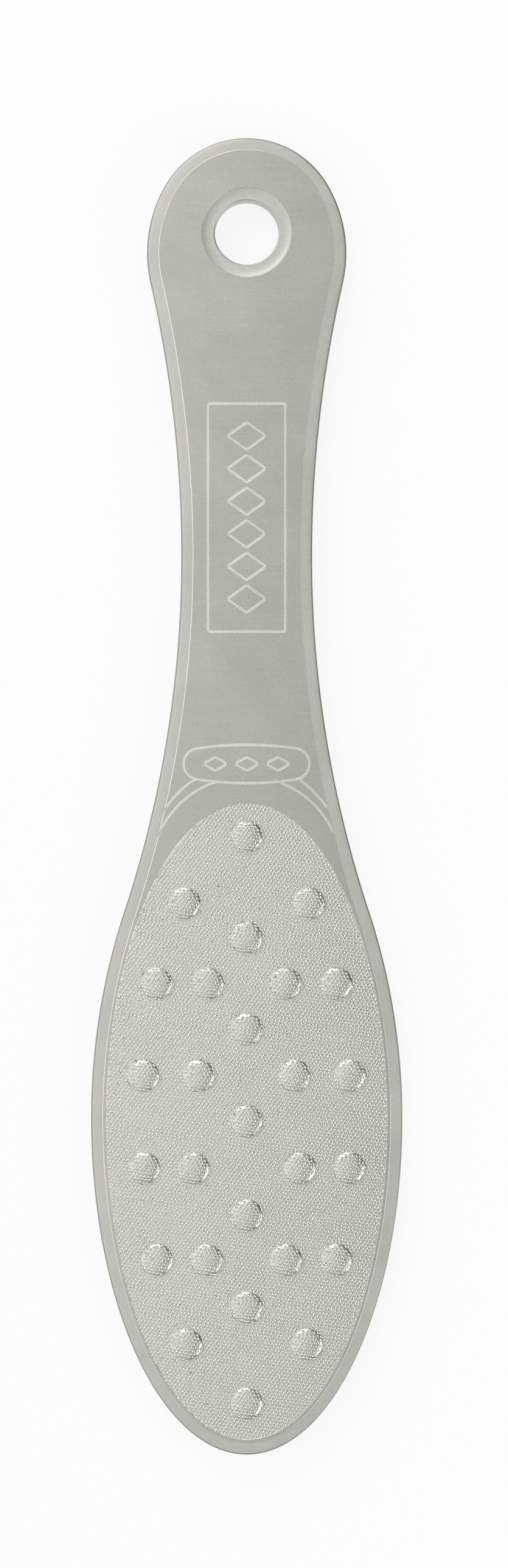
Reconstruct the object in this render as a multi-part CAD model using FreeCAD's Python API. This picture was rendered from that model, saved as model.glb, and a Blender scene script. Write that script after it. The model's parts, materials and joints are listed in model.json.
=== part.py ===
import FreeCAD
import Part

import math
import os

# A double-sided foot file: two etched and pressed metal face plates, one coarse and one fine,
# bonded with adhesive films to the two sides of a moulded core.
# The file lies flat: X runs across it, +Y runs towards the handle's end, and Z is up.
# The origin is under the middle of its length, at the level of the lowest dome.

# Outline of the file, in millimetres
END_WIDTH = 36.4            # widest place of the handle's rounded end
END_FLARE = 1.0             # how much the end's half width exceeds the radius of its cap
CAP_TO_END_WIDEST = 3.7     # centre of the cap to the end's widest place
END_TO_WAIST = 55.4         # the end's widest place to the handle's narrowest
WAIST_WIDTH = 23.9          # narrowest place of the handle
WAIST_TO_HEAD = 102.4       # the handle's narrowest place to the head's widest
HEAD_WIDTH = 56.9           # widest place of the filing head
HEAD_SHOULDER_RADIUS = 120.0  # convex arc from the handle's flare to the head's widest place
HEAD_TIP_LENGTH = 61.3      # the head's widest place to its tip, the long half axis of an ellipse

# Section of the file
EDGE_THICKNESS = 1.9        # across both etched faces, at the sides of the head
CROWN_HEIGHT = 1.25         # rise of each face from the sides of the head to the centre line
EDGE_BREAK = 0.35           # chamfer where the faces turn down into the side walls

# Face plates
SHEET_THICKNESS = 0.45      # the sheet where it is etched
ETCH_DEPTH = 0.15           # height of the polished lands above the etched metal
RIM_WIDTH = 2.15            # etched border around the lands
BAND_WIDTH = 0.7            # land between the border and the abrasive pad, beside the head
PAD_DROP = 0.5              # centre of the abrasive pad below the head's widest place
DOME_DIAMETER = 6.0         # pressed domes of the abrasive pad, at their foot
DOME_HEIGHT = 0.95

# Hanging hole
BORE_DIAMETER = 11.64
RING_WIDTH = 2.28           # dished ring around the bore
DISH_DEPTH = 0.25           # drop of the ring from its outside to the bore

# Bond and core
FILM_THICKNESS = 0.15
SIDE_CLEARANCE = 0.2        # core and films to the side walls and to the lip of the bore

# Overrun of every cut past the metal that it cuts
OVERRUN = 1.0

# Places of the domes as shares of the pad's half axes: a row's place along the pad,
# and the places across the pad of the domes on each side of its centre line.
# A share of zero is one dome on the line.
DOME_ROW_SHARES = (
    (0.895, (0.0,)),
    (0.685, (0.445,)),
    (0.577, (0.0,)),
    (0.433, (0.278, 0.643)),
    (0.290, (0.0,)),
    (0.143, (0.342, 0.738)),
    (0.0, (0.0,)),
    (-0.148, (0.381, 0.733)),
    (-0.296, (0.0,)),
    (-0.437, (0.283, 0.641)),
    (-0.586, (0.0,)),
    (-0.702, (0.431,)),
    (-0.888, (0.0,)),
)

# Rings of a dome above its foot, as shares of its half diameter and of its height
DOME_SIDES = 12
DOME_RING_SHARES = ((0.8, 0.6), (0.4, 1.0))

# Half sizes and stations along Y, worked out from the sizes above
END_HALF = END_WIDTH / 2
WAIST_HALF = WAIST_WIDTH / 2
HEAD_HALF = HEAD_WIDTH / 2
CAP_RADIUS = END_HALF - END_FLARE
LENGTH = CAP_RADIUS + CAP_TO_END_WIDEST + END_TO_WAIST + WAIST_TO_HEAD + HEAD_TIP_LENGTH
HEAD_Y = HEAD_TIP_LENGTH - LENGTH / 2
WAIST_Y = HEAD_Y + WAIST_TO_HEAD
END_Y = WAIST_Y + END_TO_WAIST
CAP_Y = END_Y + CAP_TO_END_WIDEST

# Levels above the middle plane, where the side walls of the two plates meet
FLOOR_LEVEL = EDGE_THICKNESS / 2 + CROWN_HEIGHT
CROWN_RADIUS = (HEAD_HALF ** 2 + CROWN_HEIGHT ** 2) / (2 * CROWN_HEIGHT)
MIDDLE_PLANE = FLOOR_LEVEL + DOME_HEIGHT
CORE_INSET = SHEET_THICKNESS + SIDE_CLEARANCE
BOND_DEPTH = SHEET_THICKNESS + FILM_THICKNESS

# The abrasive pad, an ellipse that is as far from the border at the tip as beside the head
PAD_Y = HEAD_Y - PAD_DROP
PAD_HALF_WIDTH = HEAD_HALF - RIM_WIDTH - BAND_WIDTH
PAD_HALF_LENGTH = HEAD_TIP_LENGTH - RIM_WIDTH - BAND_WIDTH - PAD_DROP

BORE_RADIUS = BORE_DIAMETER / 2
RING_RADIUS = BORE_RADIUS + RING_WIDTH


def point(x, y, z=0.0):
    return FreeCAD.Vector(x, y, z)


def touch_point(centre, other_centre, radius):
    """Where two tangent arcs meet: on the line of their centres, a radius from the first centre."""
    return centre + (other_centre - centre).normalize() * radius


def arc(start, end, centre):
    """The shorter arc from start to end about the centre."""
    radius = (start - centre).Length
    middle = centre + ((start + end) / 2 - centre).normalize() * radius
    return Part.Arc(start, middle, end).toShape()


def mirrored(p):
    return point(-p.x, p.y, p.z)


def outline(inset):
    """The file's outline, moved inwards by inset: tangent arcs for the handle and the head's
    shoulders, and half an ellipse for the tip. Every arc keeps its centre."""
    end_radius = (END_HALF ** 2 + CAP_TO_END_WIDEST ** 2 - CAP_RADIUS ** 2) / (2 * END_FLARE)
    upper_step = END_HALF - WAIST_HALF
    upper_radius = (upper_step ** 2 + END_TO_WAIST ** 2) / (2 * upper_step) - end_radius
    lower_step = HEAD_HALF - WAIST_HALF
    lower_radius = (lower_step ** 2 + WAIST_TO_HEAD ** 2) / (2 * lower_step) - HEAD_SHOULDER_RADIUS

    cap_centre = point(0.0, CAP_Y)
    end_centre = point(END_HALF - end_radius, END_Y)
    upper_centre = point(WAIST_HALF + upper_radius, WAIST_Y)
    lower_centre = point(WAIST_HALF + lower_radius, WAIST_Y)
    shoulder_centre = point(HEAD_HALF - HEAD_SHOULDER_RADIUS, HEAD_Y)

    cap_foot = touch_point(cap_centre, cap_centre * 2 - end_centre, CAP_RADIUS - inset)
    upper_foot = touch_point(end_centre, upper_centre, end_radius - inset)
    waist = point(WAIST_HALF - inset, WAIST_Y)
    lower_foot = touch_point(shoulder_centre, lower_centre, HEAD_SHOULDER_RADIUS - inset)
    widest = point(HEAD_HALF - inset, HEAD_Y)

    corners = (cap_foot, upper_foot, waist, lower_foot, widest)
    centres = (end_centre, upper_centre, lower_centre, shoulder_centre)
    edges = [arc(mirrored(cap_foot), cap_foot, cap_centre)]
    for start, end, centre in zip(corners, corners[1:], centres):
        edges.append(arc(start, end, centre))
    edges.append(half_ellipse(HEAD_HALF - inset, HEAD_TIP_LENGTH - inset))
    for start, end, centre in reversed(list(zip(corners, corners[1:], centres))):
        edges.append(arc(mirrored(end), mirrored(start), mirrored(centre)))
    return Part.Wire(edges)


def half_ellipse(half_width, half_length):
    """The tip's half of an ellipse about the head's widest place."""
    centre = point(0.0, HEAD_Y)
    tip = point(0.0, HEAD_Y - half_length)
    ellipse = Part.Ellipse(tip, point(half_width, HEAD_Y), centre)
    return Part.Arc(ellipse, -math.pi / 2, math.pi / 2).toShape()


def prism(wire, height):
    """The inside of a flat wire, raised from the middle plane."""
    return Part.Face(wire).extrude(point(0.0, 0.0, height))


def crown_block(depth):
    """Everything from the middle plane up to the crowned face that lies depth below the etched metal.
    The face is a cylinder along Y, and all such faces share its axis."""
    radius = CROWN_RADIUS - depth
    axis_level = FLOOR_LEVEL - CROWN_RADIUS
    reach = HEAD_HALF + OVERRUN
    start_y = -LENGTH / 2 - OVERRUN
    shoulder = axis_level + math.sqrt(radius ** 2 - reach ** 2)
    left, right = point(-reach, start_y, shoulder), point(reach, start_y, shoulder)
    top = Part.Arc(left, point(0.0, start_y, axis_level + radius), right).toShape()
    low_left, low_right = point(-reach, start_y), point(reach, start_y)
    foot = Part.makePolygon([right, low_right, low_left, left])
    section = Part.Face(Part.Wire([top] + foot.Edges))
    return section.extrude(point(0.0, LENGTH + 2 * OVERRUN, 0.0))


def crown_level(x):
    """Height of the etched face above the middle plane."""
    return math.sqrt(CROWN_RADIUS ** 2 - x ** 2) - (CROWN_RADIUS - FLOOR_LEVEL)


def crowned(inset, depth):
    """The outline's prism under a crowned face."""
    return prism(outline(inset), MIDDLE_PLANE).common(crown_block(depth))


def hole_form(depth):
    """What is open at the hanging hole: the bore and the dished ring around it, whose surface is moved
    into the metal by depth. It reaches up past the lands."""
    ring_level = crown_level(RING_RADIUS)
    lip_level = ring_level - DISH_DEPTH
    slope = math.atan2(DISH_DEPTH, RING_RADIUS - BORE_RADIUS)
    wall = BORE_RADIUS + depth
    lip = lip_level - depth * math.cos(slope) + depth * (1 - math.sin(slope)) * math.tan(slope)
    ring = RING_RADIUS + depth * math.sin(slope) - depth * (1 - math.cos(slope)) / math.tan(slope)
    top = MIDDLE_PLANE + OVERRUN
    profile = Part.makePolygon([
        point(0.0, CAP_Y, -OVERRUN),
        point(wall, CAP_Y, -OVERRUN),
        point(wall, CAP_Y, lip),
        point(ring, CAP_Y, ring_level - depth),
        point(ring, CAP_Y, top),
        point(0.0, CAP_Y, top),
        point(0.0, CAP_Y, -OVERRUN),
    ])
    return Part.Face(profile).revolve(point(0.0, CAP_Y), point(0.0, 0.0, 1.0), 360)


def dome_places():
    """Centres of the domes, on both sides of the pad's centre line."""
    places = []
    for along, across in DOME_ROW_SHARES:
        y = PAD_Y + along * PAD_HALF_LENGTH
        for share in across:
            x = share * PAD_HALF_WIDTH
            places.extend([(x, y), (-x, y)] if share else [(x, y)])
    return places


def ring_wire(width_share, level):
    """Regular polygon of a dome's ring, level above the foot."""
    radius = width_share * DOME_DIAMETER / 2
    turns = [2 * math.pi * side / DOME_SIDES for side in range(DOME_SIDES + 1)]
    return Part.makePolygon([point(radius * math.cos(t), radius * math.sin(t), level) for t in turns])


def dome():
    """One pressed dome on the origin, whose flank runs on down to the middle of the sheet. It is lofted
    through regular polygons, so that the whole pattern stays light."""
    flank_share, flank_height_share = DOME_RING_SHARES[0]
    sunk = SHEET_THICKNESS / 2
    foot_share = 1 + (1 - flank_share) * sunk / (flank_height_share * DOME_HEIGHT)
    rings = [ring_wire(foot_share, -sunk)]
    for width_share, height_share in DOME_RING_SHARES:
        rings.append(ring_wire(width_share, height_share * DOME_HEIGHT))
    return Part.makeLoft(rings, True, True)


def dome_pattern():
    """All the domes of a pad, each square to the crowned face that it stands on."""
    unit = dome()
    domes = []
    for x, y in dome_places():
        lean = FreeCAD.Rotation(point(0.0, 1.0), math.degrees(math.asin(x / CROWN_RADIUS)))
        domes.append(unit.copy())
        domes[-1].Placement = FreeCAD.Placement(point(x, y, crown_level(x)), lean)
    return domes


def pad_prism():
    pad = Part.Ellipse(
        point(0.0, PAD_Y - PAD_HALF_LENGTH), point(PAD_HALF_WIDTH, PAD_Y), point(0.0, PAD_Y)
    )
    return prism(Part.Wire(pad.toShape()), MIDDLE_PLANE)


def body_half():
    """Outside of one half of the file at the etched level, with its top edge chamfered."""
    half = crowned(0.0, 0.0)
    top_edges = [edge for edge in half.Edges if edge.BoundBox.ZMin > EDGE_BREAK]
    return half.makeChamfer(EDGE_BREAK, top_edges)


def face_plate():
    """One face plate above the middle plane: an etched sheet, pressed into a shallow tray."""
    lands = crowned(RIM_WIDTH, -ETCH_DEPTH).cut(pad_prism())
    outside = body_half().fuse([lands] + dome_pattern())
    hollow = crowned(SHEET_THICKNESS, SHEET_THICKNESS).cut(hole_form(SHEET_THICKNESS))
    return outside.cut([hollow, hole_form(0.0)]).removeSplitter()


def bond_film():
    """Adhesive sheet between a plate and the core, cut out around the hanging hole."""
    sheet = crowned(CORE_INSET, SHEET_THICKNESS).cut(crown_block(BOND_DEPTH))
    return sheet.cut(hole_form(CORE_INSET))


def core():
    """Moulded core that fills the two plates, with its hole opened for their dished rings."""
    half = crowned(CORE_INSET, BOND_DEPTH).cut(hole_form(CORE_INSET))
    return half.fuse(turned_over(half)).removeSplitter()


def turned_over(shape):
    """The same piece on the file's other side."""
    other = shape.copy()
    other.rotate(point(0.0, 0.0), point(0.0, 1.0), 180)
    return other


def save(name, shape):
    """Writes one piece, lifted so that the file stands on its lowest dome."""
    placed = shape.copy()
    placed.translate(point(0.0, 0.0, MIDDLE_PLANE))
    solids = placed.Solids
    print(name, "solids", len(solids), "valid", placed.isValid(), "volume", round(placed.Volume, 2))
    placed = solids[0] if len(solids) == 1 else Part.makeCompound(solids)
    placed.exportStep(os.path.join("parts", name + ".step"))


def main():
    os.makedirs("parts", exist_ok=True)
    plate = face_plate()
    film = bond_film()
    save("coarse_face_plate", plate)
    save("coarse_bond_film", film)
    save("core", core())
    save("fine_bond_film", turned_over(film))
    save("fine_face_plate", turned_over(plate))
    print("length", LENGTH, "width", HEAD_WIDTH, "thickness", 2 * MIDDLE_PLANE)


main()
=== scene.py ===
# %% [markdown]
# # A double-sided foot file of etched and pressed sheet metal
#
# The file is two thin metal face plates, bonded to the two sides of a moulded core. Each plate is
# etched, so that polished lands stand a hair above a frosted floor, and its oval pad is pressed into
# domes and covered with thousands of tiny etched teeth. One face is coarse and the other fine.
#
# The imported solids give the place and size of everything. The meshes made here stand for the two
# plates, where the eye goes, and the core and the films inside keep their solids.
# All lengths are in metres: X runs across the file, +Y towards the handle's end and Z up.

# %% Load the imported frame
import json
import math

import bmesh
import bpy
from mathutils import Matrix, Vector


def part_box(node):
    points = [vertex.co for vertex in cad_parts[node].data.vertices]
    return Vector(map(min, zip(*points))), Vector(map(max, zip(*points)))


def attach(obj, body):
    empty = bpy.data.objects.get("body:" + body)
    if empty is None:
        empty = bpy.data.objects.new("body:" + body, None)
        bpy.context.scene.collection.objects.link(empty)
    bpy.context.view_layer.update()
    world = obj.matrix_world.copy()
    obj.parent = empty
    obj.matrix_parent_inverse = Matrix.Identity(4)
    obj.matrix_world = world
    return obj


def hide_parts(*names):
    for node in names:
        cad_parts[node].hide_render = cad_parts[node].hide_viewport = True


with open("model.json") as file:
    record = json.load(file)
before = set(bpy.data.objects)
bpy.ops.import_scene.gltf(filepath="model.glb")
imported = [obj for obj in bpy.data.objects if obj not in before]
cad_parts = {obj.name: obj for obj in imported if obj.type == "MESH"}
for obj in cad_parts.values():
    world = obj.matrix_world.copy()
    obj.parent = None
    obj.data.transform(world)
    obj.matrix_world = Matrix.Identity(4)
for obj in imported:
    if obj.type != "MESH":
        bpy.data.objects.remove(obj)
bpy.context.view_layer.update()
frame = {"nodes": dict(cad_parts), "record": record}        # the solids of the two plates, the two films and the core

print("solids:", sorted(frame["nodes"]))

# %% [markdown]
# ## Sizes
#
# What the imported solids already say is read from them: the middle plane where the two plates meet,
# the width of the head, both ends, and the hanging hole. The other sizes are the plate maker's own,
# such as the radius of the handle's cap or the depth of the etch.

# %% Sizes from the frame
PLATE_LOW, PLATE_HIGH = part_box("coarse_face_plate")
MIDDLE = PLATE_LOW.z                    # plane where the side walls of the plates meet
HEAD_HALF = PLATE_HIGH.x                # half width of the filing head
TIP_Y = PLATE_LOW.y
END_Y = PLATE_HIGH.y
FACE_RISE = PLATE_HIGH.z - PLATE_LOW.z  # middle plane to the tips of the highest teeth

HOLE = next(mount for mount in frame["record"]["mounts"] if mount["name"] == "hanging_hole")
HOLE_Y = HOLE["pos_m"][1]
BORE_RADIUS = HOLE["dims"]["r_mm"] / 1000
print("hole at y", HOLE_Y, "radius", BORE_RADIUS, "middle plane", round(MIDDLE, 6))

# %% Sizes of the outline and of the etched sheet
CAP_RADIUS = END_Y - HOLE_Y     # the handle's cap is concentric with the hole
END_HALF = 0.0182               # half of the handle's widest place
CAP_TO_END_WIDEST = 0.0037
END_TO_WAIST = 0.0554
WAIST_HALF = 0.01195
WAIST_TO_HEAD = 0.1024
SHOULDER_RADIUS = 0.120

EDGE_RISE = 0.00095             # middle plane to the etched face, at the sides of the head
CROWN_HEIGHT = 0.00125          # from there to the etched face on the centre line
SHEET = 0.00045                 # thickness of the etched sheet
ETCH = 0.00015                  # height of the lands and of the teeth
RIM_WIDTH = 0.00215             # frosted border around the lands
BAND_WIDTH = 0.0007             # land between the border and the pad
PAD_DROP = 0.0005               # pad's centre below the head's widest place
RING_WIDTH = 0.00228            # dished ring around the bore
DISH_DEPTH = 0.00025

FLOOR_LEVEL = EDGE_RISE + CROWN_HEIGHT
CROWN_RADIUS = (HEAD_HALF ** 2 + CROWN_HEIGHT ** 2) / (2 * CROWN_HEIGHT)
WIDEST_END_Y = HOLE_Y - CAP_TO_END_WIDEST
WAIST_Y = WIDEST_END_Y - END_TO_WAIST
HEAD_Y = WAIST_Y - WAIST_TO_HEAD
TIP_LENGTH = HEAD_Y - TIP_Y
PAD_HALF_WIDTH = HEAD_HALF - RIM_WIDTH - BAND_WIDTH
PAD_HALF_LENGTH = TIP_LENGTH - RIM_WIDTH - BAND_WIDTH - PAD_DROP
PAD_Y = HEAD_Y - PAD_DROP
RING_RADIUS = BORE_RADIUS + RING_WIDTH
print("waist at y", round(WAIST_Y, 5), "head at y", round(HEAD_Y, 5), "tip length", round(TIP_LENGTH, 5))


def crown(x):
    """Level of the etched face above the middle plane, at a place across the file."""
    return FLOOR_LEVEL - CROWN_RADIUS + math.sqrt(CROWN_RADIUS ** 2 - x ** 2)


# %% [markdown]
# ## Small helpers for node trees
#
# Geometry trees and materials are both built here in code. One helper adds a node and fills its
# sockets: a value that is itself a socket becomes a link, and anything else becomes the socket's own
# value. Another runs a geometry tree on a mesh and hands back the plain mesh that comes out.

# %% Node helpers
def add(tree, kind, sockets=None, **settings):
    """A new node with its settings made and its sockets filled."""
    node = tree.nodes.new(kind)
    for name, value in settings.items():
        setattr(node, name, value)
    for key, value in (sockets or {}).items():
        if isinstance(value, bpy.types.NodeSocket):
            tree.links.new(value, node.inputs[key])
        else:
            node.inputs[key].default_value = value
    return node


def out(tree, kind, sockets=None, **settings):
    """The first output of a new node."""
    return add(tree, kind, sockets, **settings).outputs[0]


def tree_of(values):
    """The node tree that the first socket among some values is in."""
    return next(value.id_data for value in values if isinstance(value, bpy.types.NodeSocket))


def calc(operation, *values):
    """The result of one Math node."""
    return out(tree_of(values), "ShaderNodeMath", dict(enumerate(values)), operation=operation)


def vector(**axes):
    """A vector from its X, Y and Z. An axis that isn't given is zero."""
    return out(tree_of(axes.values()), "ShaderNodeCombineXYZ", axes)


def plus(*vectors):
    """The sum of two vectors."""
    return out(tree_of(vectors), "ShaderNodeVectorMath", dict(enumerate(vectors)), operation="ADD")


def position(tree):
    """The X, Y and Z of each point's place."""
    place = out(tree, "GeometryNodeInputPosition")
    return add(tree, "ShaderNodeSeparateXYZ", {0: place}).outputs


GEOMETRY, MATERIAL = "NodeSocketGeometry", "NodeSocketMaterial"
FLOAT, INTEGER, VECTOR = "NodeSocketFloat", "NodeSocketInt", "NodeSocketVector"


def new_group(name, kind, inputs, outputs):
    """An empty node group and its two end nodes. The sockets' names are listed by their type."""
    tree = bpy.data.node_groups.new(name, kind)
    for in_out, sockets in (("INPUT", inputs), ("OUTPUT", outputs)):
        for socket_type, labels in sockets.items():
            for label in labels:
                tree.interface.new_socket(label, in_out=in_out, socket_type=socket_type)
    return tree, tree.nodes.new("NodeGroupInput"), tree.nodes.new("NodeGroupOutput")


def geometry_tree(name, inputs):
    """An empty geometry tree, with other named inputs beside its geometry."""
    own = {GEOMETRY: ["Geometry"]}
    return new_group(name, "GeometryNodeTree", {**own, **inputs}, own)


print("node helpers ready")


# %% Object helpers
def new_object(name, data):
    """A new object in the scene."""
    made = bpy.data.objects.new(name, data)
    bpy.context.collection.objects.link(made)
    return made


def plain_mesh(worker):
    """The mesh that an object's modifiers make. The object itself is removed."""
    depsgraph = bpy.context.evaluated_depsgraph_get()
    made = bpy.data.meshes.new_from_object(worker.evaluated_get(depsgraph), depsgraph=depsgraph)
    bpy.data.objects.remove(worker)
    return made


def run_tree(tree, mesh, values):
    """The plain mesh that a geometry tree makes from a mesh, with the tree's named inputs set."""
    worker = new_object(tree.name, mesh)
    modifier = worker.modifiers.new(tree.name, "NODES")
    modifier.node_group = tree
    for item in tree.interface.items_tree:
        if item.in_out == "INPUT" and item.name in values:
            modifier[item.identifier] = values[item.name]
    return plain_mesh(worker)


print("object helpers ready")

# %% [markdown]
# ## What the metal's finishes share
#
# The sheet was brushed across before it was etched, then handled. Three effects show this: streaks
# that run along X, cloudy rubbed patches, and the fine frost that the acid leaves. Each is a group,
# because the lands, the floor and the teeth all use them in other amounts.

# %% Brushed streaks, rubbed clouds and frost
STREAK_DETAIL = 3.0             # how many finer layers the noise of each effect has
CLOUD_DETAIL = 2.0
FROST_DETAIL = 1.0


def streak_group():
    """Noise drawn out along X, as a brush leaves it."""
    tree, start, end = new_group(
        "Crosswise_streaks", "ShaderNodeTree",
        {VECTOR: ["Vector"], FLOAT: ["Streak length", "Streak width"]}, {FLOAT: ["Streak"]}
    )
    per_length = calc("DIVIDE", 1.0, start.outputs["Streak length"])
    per_width = calc("DIVIDE", 1.0, start.outputs["Streak width"])
    scale = vector(X=per_length, Y=per_width, Z=per_length)
    stretched = out(
        tree, "ShaderNodeVectorMath", {0: start.outputs["Vector"], 1: scale}, operation="MULTIPLY"
    )
    noise = out(tree, "ShaderNodeTexNoise", {"Vector": stretched, "Scale": 1.0, "Detail": STREAK_DETAIL})
    tree.links.new(noise, end.inputs["Streak"])
    return tree


def spot_group(name, detail, output):
    """Even noise with spots of a given size."""
    tree, start, end = new_group(
        name, "ShaderNodeTree", {VECTOR: ["Vector"], FLOAT: ["Spot size"]}, {FLOAT: [output]}
    )
    per_size = calc("DIVIDE", 1.0, start.outputs["Spot size"])
    noise = out(
        tree, "ShaderNodeTexNoise",
        {"Vector": start.outputs["Vector"], "Scale": per_size, "Detail": detail}
    )
    tree.links.new(noise, end.inputs[output])
    return tree


STREAKS = streak_group()
CLOUDS = spot_group("Rubbed_clouds", CLOUD_DETAIL, "Cloud")
FROST = spot_group("Etched_frost", FROST_DETAIL, "Frost")
print("effects:", STREAKS.name, CLOUDS.name, FROST.name)

# %% [markdown]
# ## Metal finishes
#
# All the visible metal is one steel sheet, so every finish is a fully metallic Principled shader.
# What differs is how the acid and the brush left it, and where light is painted in. The lands keep the
# brushed skin and are a little darker. The border and the ring are frosted and rougher. The walls and
# floors of the etched lines are painted bright, a painted highlight for the light that the leaning walls
# catch. The pad's floor is lightly frosted. Its teeth have flanks painted bright, a painted highlight, and
# tips painted dark, a painted shade. The wall and rounded edge where the face turns down are painted
# dark, a painted shade.

# %% Building a finish
NOISE_LOW, NOISE_HIGH = 0.3, 0.7    # most noise lies between these
CLOUD_SIZE = 0.009
FROST_SIZE = 0.00035


def place_group(group, place, **values):
    """A shared effect placed in a material, with its own values."""
    named = {name.replace("_", " ").capitalize(): value for name, value in values.items()}
    return out(place.id_data, "ShaderNodeGroup", {"Vector": place, **named}, node_tree=group)


def weighted(*parts):
    """A sum of values, each times its weight."""
    total = 0.0
    for weight, value in parts:
        total = calc("MULTIPLY_ADD", value, weight, total)
    return total


def ranged(value, low, high):
    """A value of noise, spread from low to high."""
    ends = {"From Min": NOISE_LOW, "From Max": NOISE_HIGH, "To Min": low, "To Max": high}
    return out(value.id_data, "ShaderNodeMapRange", {"Value": value, **ends})


def new_finish(name):
    """A new material, and the place on the piece as its nodes know it."""
    made = bpy.data.materials.new(name)
    made.use_nodes = True
    return made, add(made.node_tree, "ShaderNodeTexCoord").outputs["Object"]


def dress(tone, height, dark, light, roughness, relief):
    """Gives a finish its colour and roughness after a tone, and its grain after a height."""
    tree = tone.id_data
    shader = tree.nodes["Principled BSDF"]
    ramp = add(tree, "ShaderNodeValToRGB", {"Fac": ranged(tone, 0.0, 1.0)})
    for element, color in zip(ramp.color_ramp.elements, (dark, light)):
        element.color = (*color, 1.0)
    bump = out(tree, "ShaderNodeBump", {"Height": height, "Distance": relief, "Strength": 1.0})
    tree.links.new(ramp.outputs["Color"], shader.inputs["Base Color"])
    tree.links.new(ranged(tone, *roughness), shader.inputs["Roughness"])
    tree.links.new(bump, shader.inputs["Normal"])
    return shader


def metal(name, dark, light, roughness, shares, streak, relief):
    """A metal finish. Shares are the weights of streaks, clouds and frost in its tone, streak is the
    length and width of the brush marks, and relief is the height of the grain."""
    made, place = new_finish(name)
    streaks = place_group(STREAKS, place, streak_length=streak[0], streak_width=streak[1])
    clouds = place_group(CLOUDS, place, spot_size=CLOUD_SIZE)
    frost = place_group(FROST, place, spot_size=FROST_SIZE)
    tone = weighted((shares[0], streaks), (shares[1], clouds), (shares[2], frost))
    height = weighted((shares[0], streaks), (shares[2], frost))
    shader = dress(tone, height, dark, light, roughness, relief)
    shader.inputs["Metallic"].default_value = 1.0
    return made


print("noise spread from", NOISE_LOW, "to", NOISE_HIGH)

# %% The metal finishes
FAINT_STREAK = (0.003, 0.0002)
ACID_SHARES = (0.10, 0.40, 0.50)    # mostly frost, on the pad
ETCH_SHARES = (0.10, 0.45, 0.45)    # clouds and frost alike, elsewhere on etched metal

LAND = metal(
    "Brushed_land", dark=(0.450, 0.450, 0.415), light=(0.555, 0.555, 0.514), roughness=(0.32, 0.40),
    shares=(0.30, 0.34, 0.36), streak=(0.009, 0.00013), relief=0.000004
)
BORDER = metal(
    "Frosted_border", dark=(0.52, 0.52, 0.478), light=(0.62, 0.62, 0.573), roughness=(0.54, 0.62),
    shares=(0.15, 0.45, 0.40), streak=(0.004, 0.0002), relief=0.000006
)
PAD = metal(
    "Frosted_pad", dark=(0.62, 0.62, 0.585), light=(0.70, 0.70, 0.66), roughness=(0.24, 0.32),
    shares=ACID_SHARES, streak=FAINT_STREAK, relief=0.000004
)
# Flanks of the teeth: painted highlight, far brighter than the pad's floor of the same metal, for the bright
# crescents that the flanks catch.
TOOTH_HIGHLIGHT = metal(
    "Etched_tooth", dark=(0.86, 0.86, 0.82), light=(0.95, 0.95, 0.905), roughness=(0.10, 0.16),
    shares=ACID_SHARES, streak=FAINT_STREAK, relief=0.000002
)
# Flat tops of the teeth: painted shade, darker than the lands they were left from, for the dark dot in each tooth.
TIP_SHADE = metal(
    "Tooth_tip", dark=(0.23, 0.23, 0.212), light=(0.32, 0.32, 0.297), roughness=(0.30, 0.38),
    shares=ACID_SHARES, streak=FAINT_STREAK, relief=0.000002
)
RING = metal(
    "Coined_ring", dark=(0.52, 0.52, 0.485), light=(0.63, 0.63, 0.595), roughness=(0.46, 0.56),
    shares=ETCH_SHARES, streak=(0.0015, 0.0003), relief=0.000010
)
# Walls of the lands and of the etched lines: painted highlight, far brighter than the lands, for the thin bright line
# that a leaning wall catches.
WALL_HIGHLIGHT = metal(
    "Etched_wall", dark=(0.82, 0.82, 0.785), light=(0.92, 0.92, 0.885), roughness=(0.22, 0.30),
    shares=ETCH_SHARES, streak=FAINT_STREAK, relief=0.000004
)
# Floor seen in the etched lines: painted highlight, brighter than the other etched floors, so that the lines show
# white.
LINE_HIGHLIGHT = metal(
    "Bright_line", dark=(0.68, 0.68, 0.65), light=(0.80, 0.80, 0.765), roughness=(0.24, 0.34),
    shares=ETCH_SHARES, streak=FAINT_STREAK, relief=0.000002
)
# Wall and rounded edge where the face turns down: painted shade, darker than the border, for the dark outline of the
# file.
EDGE_SHADE = metal(
    "Raw_edge", dark=(0.30, 0.295, 0.265), light=(0.40, 0.395, 0.36), roughness=(0.40, 0.52),
    shares=(0.20, 0.45, 0.35), streak=(0.002, 0.0003), relief=0.000008
)
# The "wall" and "line" finishes are painted highlight, and the "edge" finish is painted shade.
PLATE_FINISHES = {
    "border": BORDER, "land": LAND, "pad": PAD, "ring": RING, "wall": WALL_HIGHLIGHT, "line": LINE_HIGHLIGHT, "edge": EDGE_SHADE
}
FINISH = {name: index for index, name in enumerate(PLATE_FINISHES)}
print("finishes:", [finish.name for finish in PLATE_FINISHES.values()])

# %% [markdown]
# ## The outline
#
# The handle and the head are one run of tangent arcs, closed by half an ellipse at the tip. The same
# outline is needed many times: at the wall, around the rounded edge, at the border's inside. So it is
# a function of its inset, and every loop has the same count of points, which makes bands between two
# loops easy to build.

# %% Outline as a function of its inset
OUTLINE_STEP = 0.0010           # spacing of the points along the outline

END_RADIUS = (END_HALF ** 2 + CAP_TO_END_WIDEST ** 2 - CAP_RADIUS ** 2) / (2 * (END_HALF - CAP_RADIUS))
UPPER_STEP = END_HALF - WAIST_HALF
UPPER_RADIUS = (UPPER_STEP ** 2 + END_TO_WAIST ** 2) / (2 * UPPER_STEP) - END_RADIUS
LOWER_STEP = HEAD_HALF - WAIST_HALF
LOWER_RADIUS = (LOWER_STEP ** 2 + WAIST_TO_HEAD ** 2) / (2 * LOWER_STEP) - SHOULDER_RADIUS

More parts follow.
